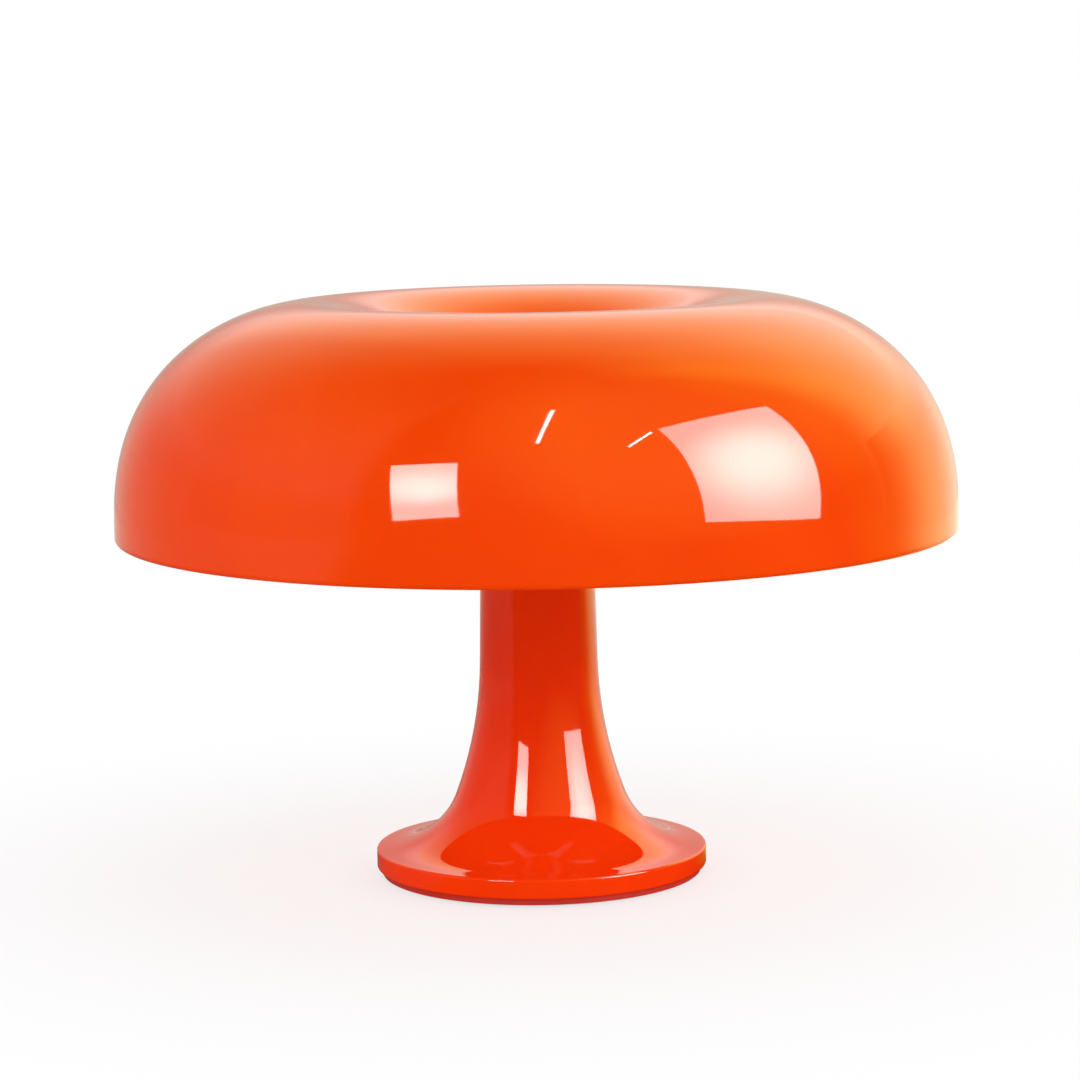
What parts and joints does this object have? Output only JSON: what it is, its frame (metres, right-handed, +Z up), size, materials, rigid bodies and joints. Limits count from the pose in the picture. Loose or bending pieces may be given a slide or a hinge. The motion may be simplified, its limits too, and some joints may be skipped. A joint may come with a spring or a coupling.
{
  "type": "mushroom table lamp",
  "caption": "Table lamp with a glossy ring-shaped dome shade, dimpled in the middle, on a trumpet stem with a round base; shade lifts off, lock knob unscrews, bulbs pull out.",
  "frame": {"origin": "centre of the standing surface, under the lamp's axis", "axes": "+Z up along the lamp's axis; -Y is the front of the picture, +Y the back with the cord inlet; +X to the right seen from the front"},
  "size_m": [0.32, 0.32, 0.221],
  "materials": {
    "shade_moulding": "high gloss injection-moulded ABS",
    "stem_moulding": "high gloss injection-moulded ABS",
    "cover_moulding": "gloss ABS, darker red-orange",
    "pad_rubber": "matt",
    "weight_steel": "black phosphated pressed steel",
    "zinc_steel": "zinc plated",
    "carrier_moulding": "white heat-resistant moulding",
    "lampholder_ceramic": "glazed white ceramic",
    "brass_parts": "plain",
    "lead_sleeve": "woven glass-fibre sleeve",
    "terminal_polyamide": "natural polyamide",
    "bush_rubber": "matt",
    "fibre": "vulcanised fibre",
    "knob_moulding": "high gloss injection-moulded ABS",
    "pin_steel": "nickel plated",
    "bulb_body": "white moulded base",
    "bulb_opal": "opal polycarbonate cover"
  },
  "bodies": {
    "root": {"stem_base": "stem_moulding", "bottom_cover": "cover_moulding", "pads": "pad_rubber", "counterweight": "weight_steel", "cover_screws": "zinc_steel", "tie_rod": "zinc_steel", "lower_washer": "zinc_steel", "lower_nut": "zinc_steel", "upper_washer": "zinc_steel", "upper_nut": "zinc_steel", "carrier_lower": "carrier_moulding", "carrier_upper": "carrier_moulding", "nut_cup": "zinc_steel", "lampholder_1": "lampholder_ceramic", "lampholder_2": "lampholder_ceramic", "lampholder_3": "lampholder_ceramic", "lampholder_4": "lampholder_ceramic", "contacts_1": "brass_parts", "contacts_2": "brass_parts", "contacts_3": "brass_parts", "contacts_4": "brass_parts", "lead_1": "lead_sleeve", "lead_2": "lead_sleeve", "lead_3": "lead_sleeve", "lead_4": "lead_sleeve", "terminal_block": "terminal_polyamide", "terminal_screws": "brass_parts", "cord_bush": "bush_rubber"},
    "shade": {"shade": "shade_moulding"},
    "knob_collar": {"fibre_washer": "fibre"},
    "knob": {"lock_knob": "knob_moulding", "knob_insert": "brass_parts"},
    "bulb_1": {"bulb_1_pins": "pin_steel", "bulb_1_base": "bulb_body", "bulb_1_dome": "bulb_opal"},
    "bulb_2": {"bulb_2_pins": "pin_steel", "bulb_2_base": "bulb_body", "bulb_2_dome": "bulb_opal"},
    "bulb_3": {"bulb_3_pins": "pin_steel", "bulb_3_base": "bulb_body", "bulb_3_dome": "bulb_opal"},
    "bulb_4": {"bulb_4_pins": "pin_steel", "bulb_4_base": "bulb_body", "bulb_4_dome": "bulb_opal"}
  },
  "joints": [
    {"name": "shade_lift", "type": "slide", "parent": "root", "child": "shade", "axis": [0, 0, 1], "range_m": [0, 0.06]},
    {"name": "knob_rise", "type": "slide", "parent": "shade", "child": "knob_collar", "axis": [0, 0, 1], "range_m": [0, 0.0101]},
    {"name": "knob_turn", "type": "hinge", "parent": "knob_collar", "child": "knob", "pos_m": [0, 0, 0.1662], "axis": [0, 0, 1], "range_deg": [0, 3600]},
    {"name": "bulb_1_pull", "type": "slide", "parent": "root", "child": "bulb_1", "axis": [0.7071, 0.7071, 0], "range_m": [0, 0.012]},
    {"name": "bulb_2_pull", "type": "slide", "parent": "root", "child": "bulb_2", "axis": [-0.7071, 0.7071, 0], "range_m": [0, 0.012]},
    {"name": "bulb_3_pull", "type": "slide", "parent": "root", "child": "bulb_3", "axis": [-0.7071, -0.7071, 0], "range_m": [0, 0.012]},
    {"name": "bulb_4_pull", "type": "slide", "parent": "root", "child": "bulb_4", "axis": [0.7071, -0.7071, 0], "range_m": [0, 0.012]}
  ],
  "couplings": [
    {"joint": "knob_rise", "follows": "knob_turn", "m_per_rad": 0.00015915}
  ]
}
